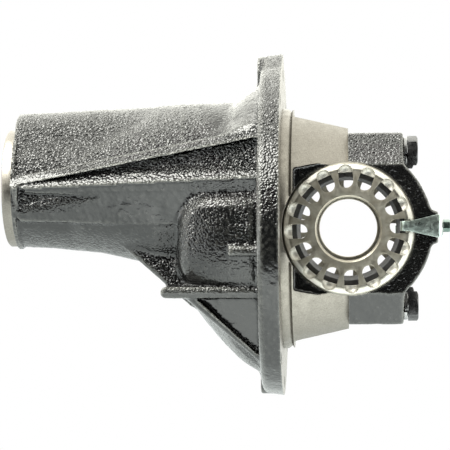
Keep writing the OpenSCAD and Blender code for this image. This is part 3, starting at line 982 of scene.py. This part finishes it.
# ---- Adjusters and bearing cups ----
def slot_outline(inset=0.0, steps=14):
    """Long hole with round ends, pointing along +X."""
    half = SLOT_W / 2
    r = half - inset
    points = []
    for i in range(steps + 1):
        a = -math.pi / 2 + math.pi * i / steps
        points.append((SLOT_R1 - half + r * math.cos(a), r * math.sin(a)))
    for i in range(steps + 1):
        a = math.pi / 2 + math.pi * i / steps
        points.append((SLOT_R0 + half + r * math.cos(a), r * math.sin(a)))
    return points


def scallop_cutter(angle, nose=4.2, rings=7):
    """Long hole with a round bottom edge, as a round-nosed tool leaves it."""
    floor = -RING_OUT + SLOT_FLOOR
    levels = [(0, -RING_OUT - 3)]
    for i in range(rings):
        a = math.pi / 2 * i / (rings - 1)
        levels.append((nose * (1 - math.cos(a)), floor - nose + nose * math.sin(a)))
    points, faces = [], []
    for inset, height in levels:
        points += [(u, v, height) for u, v in turned(slot_outline(inset), angle)]
    n = len(points) // len(levels)
    for k in range(len(levels) - 1):
        faces += [(k * n + i, k * n + (i + 1) % n, (k + 1) * n + (i + 1) % n, (k + 1) * n + i)
                  for i in range(n)]
    faces += [tuple(range(n - 1, -1, -1)), tuple(range(len(points) - n, len(points)))]
    return new_object("cutter", placed(points, "slot", (AXLE_X, 0, 0)), faces)


def turned(points, angle):
    """Flat points turned about the origin."""
    c, s = math.cos(angle), math.sin(angle)
    return [(u * c - v * s, u * s + v * c) for u, v in points]


def make_adjusters(materials):
    # heights run inwards from the outer face
    top = -RING_OUT
    profile = [(AXLE_HOLE_R, top + 1.4), (AXLE_HOLE_R + 1.4, top), (42.0, top), (43.6, top + 0.4),
               (45.2, top + 1.1), (46.7, top + 2.1), (47.7, top + 3.2), (RING_OUTER_R, top + 4.5),
               (RING_OUTER_R, -RING_IN - 1), (RING_OUTER_R - 1, -RING_IN), (RIM_IN_R, -RING_IN),
               (RIM_IN_R, top + PLATE_T), (AXLE_HOLE_R + 0.6, top + PLATE_T),
               (AXLE_HOLE_R, top + PLATE_T - 0.6)]
    right = lathe("right_adjuster_ring_part", profile, "Y", (AXLE_X, 0, 0), 192)
    cuts = []
    for i in range(SLOTS):
        # seen from outside, angles turn from +X towards +Z
        a = SLOT_PHASE + 2 * math.pi * i / SLOTS
        # through the plate, inside the rim
        inner = [(min(u, RIM_IN_R - 0.4), v) for u, v in slot_outline()]
        cuts.append(prism("cutter", turned(inner, a), -RING_OUT - 3, -RING_OUT + PLATE_T + 2,
                          "slot", (AXLE_X, 0, 0)))
        cuts.append(scallop_cutter(a))
    combine(right, cuts)
    soften(right, 0.4, 40, 40)
    paint(right, materials["adjuster"], materials["scallop"], materials["bevel"])
    c = face_data(right)[0]
    depth, r = c[:, 1] + RING_OUT, np.hypot(c[:, 0] - AXLE_X, c[:, 2])
    # the pocket faces take the lighter copy of the steel, partly painted light
    cut = (depth > 0.6) & (depth < SLOT_FLOOR + 0.3) & (r > SLOT_R0) & (r < SLOT_R1 + 0.2)
    # the bevel faces take the darker copy of the steel, which is painted shade
    bevel = ~cut & (r > 42.2) & (depth < 4.6)
    right.data.polygons.foreach_set("material_index", cut + 2 * bevel.astype(np.int32))
    finish_pair(right, "adjuster_ring", "adjuster")


def make_cups(materials):
    profile = [(37.55, -CUP_OUT + 0.4), (37.95, -CUP_OUT), (CUP_R - 1.4, -CUP_OUT),
               (CUP_R - 0.4, -CUP_OUT + 0.5), (CUP_R, -CUP_OUT + 1.5), (CUP_R, -CUP_IN - 1.5),
               (CUP_R - 0.4, -CUP_IN - 0.5), (CUP_R - 1.0, -CUP_IN), (42.8, -CUP_IN),
               (42.4, -CUP_IN - 0.4)]
    right = lathe("right_axle_cup", profile, "Y", (AXLE_X, 0, 0), 160)
    shade(right, 25)
    paint(right, materials["bearing"])
    finish_pair(right, "cap", "carrier_bearing_cup")
    for node, low, high, race_0, race_1 in (
            ("front_pinion_bearing_cup", FRONT_CUP_LOW, FRONT_CUP_HIGH, 32, 29),
            ("rear_pinion_bearing_cup", REAR_CUP_LOW, REAR_CUP_HIGH, 33, 36.6)):
        x0, x1, r = low[0], high[0], high[1]
        profile = [(race_0 + 0.4, x0), (r - 1, x0), (r, x0 + 1), (r, x1 - 1), (r - 1, x1),
                   (race_1 + 0.4, x1), (race_1, x1 - 0.4), (race_0, x0 + 0.4)]
        cup = lathe(node + "_ring", profile, "X", (0, 0, PINION_Z), 128)
        shade(cup, 25)
        paint(cup, materials["bearing"])
        finish_piece(cup, "housing", node)


# ---- Bolts and washers ----
def hexagon(flats, angle):
    r = flats / math.sqrt(3)
    return [(r * math.cos(angle + i * math.pi / 3), r * math.sin(angle + i * math.pi / 3))
            for i in range(6)]


def hex_head(name, flats, x0, height, angle, place):
    """Hexagon head with a chamfered outer end."""
    head = prism(name, hexagon(flats, angle), x0, x0 + height, "X", place)
    corner, far, slope = flats / 2 - 0.3, flats, math.tan(math.radians(30))
    cone = lathe("cutter", [(corner, x0 + height + 1), (corner, x0 + height),
                            (far, x0 + height - (far - corner) * slope), (far, x0 + height + 1)],
                 "X", place, 96)
    combine(head, [cone])
    return head


def make_cap_bolts(materials):
    head_x = WASHER_HIGH[0]
    for side, sign in (("right", -1), ("left", 1)):
        for end, up in (("upper", 1), ("lower", -1)):
            place = (0, sign * CAP_BOLT_Y, up * CAP_BOLT_Z)
            turn = math.radians(30 - 5 * up)
            bolt = hex_head(f"{side}_{end}_bolt_part", CAP_BOLT_FLATS, head_x,
                            BOLT_HIGH[0] - head_x, turn, place)
            shank = lathe("shank", [(0, BOLT_LOW[0]), (CAP_BOLT_R - 1, BOLT_LOW[0]),
                                    (CAP_BOLT_R, BOLT_LOW[0] + 1), (CAP_BOLT_R, head_x + 0.5),
                                    (0, head_x + 0.5)], "X", place, 48)
            combine(bolt, [shank], "UNION")
            soften(bolt, 0.3, 25, 30)
            paint(bolt, materials["dark"])
            finish_piece(bolt, f"{side}_cap", f"{side}_{end}_cap_bolt")
            make_spring_washer(f"{side}_{end}", side, place, materials)


def make_spring_washer(name, side, place, materials, steps=72):
    """Split ring, its ends sprung a little apart."""
    x0, x1 = WASHER_LOW[0], WASHER_HIGH[0]
    inner, outer, t = 6.2, 10.0, x1 - x0 - 0.5
    start, sweep = math.radians(205), math.radians(351)
    points, faces = [], []
    section = [(inner, 0.3), (inner + 0.3, 0), (outer - 0.4, 0), (outer, 0.4), (outer, t - 0.4),
               (outer - 0.4, t), (inner + 0.3, t), (inner, t - 0.3)]
    n = len(section)
    for i in range(steps + 1):
        share = i / steps
        a = start + sweep * share
        lift = x0 + 0.5 * share
        points += [(r * math.cos(a), r * math.sin(a), lift + h) for r, h in section]
    for i in range(steps):
        for k in range(n):
            m = (k + 1) % n
            faces.append((i * n + k, i * n + m, (i + 1) * n + m, (i + 1) * n + k))
    faces += [tuple(range(n)), tuple(range(steps * n + n - 1, steps * n - 1, -1))]
    washer = new_object(name + "_washer_part", placed(points, "X", place), faces)
    shade(washer, 30)
    paint(washer, materials["washer"])
    finish_piece(washer, f"{side}_cap", name + "_spring_washer")


def make_lock_screws(materials):
    x0, x1, x2 = LOCK_WASHER_LOW[0], LOCK_WASHER_HIGH[0], LOCK_BOLT_HIGH[0]
    place = (0, -LOCK_BOLT_Y, LOCK_Z)
    bolt = hex_head("right_lock_bolt_part", LOCK_BOLT_FLATS, x1, x2 - x1, math.radians(24), place)
    shank_r = LOCK_BOLT_R - BORE_PLAY
    shank = lathe("shank", [(0, LOCK_BOLT_LOW[0]), (shank_r, LOCK_BOLT_LOW[0]),
                            (shank_r, x1 + 0.3), (0, x1 + 0.3)], "X", place, 32)
    combine(bolt, [shank], "UNION")
    soften(bolt, 0.2, 25, 30)
    paint(bolt, materials["screw"])
    hole, rim = LOCK_BOLT_R + 0.15, 4.6
    washer = lathe("right_lock_washer_part", [(hole, x0), (rim - 0.3, x0), (rim, x0 + 0.3),
                                              (rim, x1 - 0.3), (rim - 0.3, x1), (hole, x1)],
                   "X", place, 48)
    shade(washer, 25)
    paint(washer, materials["washer"])
    finish_pair(bolt, "cap", "lock_bolt")
    finish_pair(washer, "cap", "lock_washer")


# ---- Adjuster locks ----
def lock_path():
    """Middle line of the bent strip as (x, y, half width), finger tip to tail end."""
    y_face = LOCK_LOW[1] + LOCK_T / 2
    x_tip, x_tail = LOCK_LOW[0] + LOCK_T / 2, LOCK_HIGH[0] - LOCK_T / 2
    r, narrow, wide = BEND_R, FINGER_W / 2, TAIL_W / 2
    bends = [math.pi / 2 * i / 6 for i in range(1, 7)]
    stations = [(x_tip, LOCK_FINGER_END, narrow), (x_tip, y_face + r, narrow)]
    stations += [(x_tip + r - r * math.cos(a), y_face + r - r * math.sin(a), narrow) for a in bends]
    stations += [(AXLE_X + 43, y_face, narrow), (x_tail - r, y_face, wide)]
    stations += [(x_tail - r + r * math.sin(a), y_face + r - r * math.cos(a), wide) for a in bends]
    stations.append((x_tail, LOCK_HIGH[1], wide))
    return stations


def make_locks(materials):
    stations = lock_path()
    points, faces = [], []
    for i, (x, y, half) in enumerate(stations):
        xa, ya, _ = stations[max(i - 1, 0)]
        xb, yb, _ = stations[min(i + 1, len(stations) - 1)]
        if 0 < i < len(stations) - 1 and (i == 1 or stations[i - 1][0] == x):
            # the straight finger keeps its thickness up to the bend
            xb, yb = x, y
        length = math.hypot(xb - xa, yb - ya)
        nx, ny = -(yb - ya) / length * LOCK_T / 2, (xb - xa) / length * LOCK_T / 2
        for side, up in ((1, 1), (1, -1), (-1, -1), (-1, 1)):
            points.append((x + side * nx, y + side * ny, LOCK_Z + up * half))
    for i in range(len(stations) - 1):
        for k in range(4):
            m = (k + 1) % 4
            faces.append((4 * i + k, 4 * i + m, 4 * i + 4 + m, 4 * i + 4 + k))
    last = 4 * (len(stations) - 1)
    faces += [(3, 2, 1, 0), (last, last + 1, last + 2, last + 3)]
    right = new_object("right_lock_strip", [Vector(p) * MM for p in points], faces)
    # the tail is a fork, open towards the middle, that slips under the screw's washer
    x0, x1, fork_r = LOCK_HIGH[0] - LOCK_T - 1, LOCK_HIGH[0] + 1, LOCK_BOLT_R + 0.3
    fork = drum(fork_r, x0, x1, "X", (0, -LOCK_BOLT_Y, LOCK_Z), 32)
    mouth = brick((x0, -LOCK_BOLT_Y, LOCK_Z - fork_r), (x1, -40, LOCK_Z + fork_r))
    combine(fork, [mouth], "UNION")
    combine(right, [fork])
    soften(right, 0.3, 30, 40)
    paint(right, materials["zinc"])
    finish_pair(right, "lock", "adjuster_lock")


make_camera()
make_studio()
MATERIALS = make_materials()
make_housing(MATERIALS)
make_caps(MATERIALS)
make_adjusters(MATERIALS)
make_cups(MATERIALS)
make_cap_bolts(MATERIALS)
make_lock_screws(MATERIALS)
make_locks(MATERIALS)
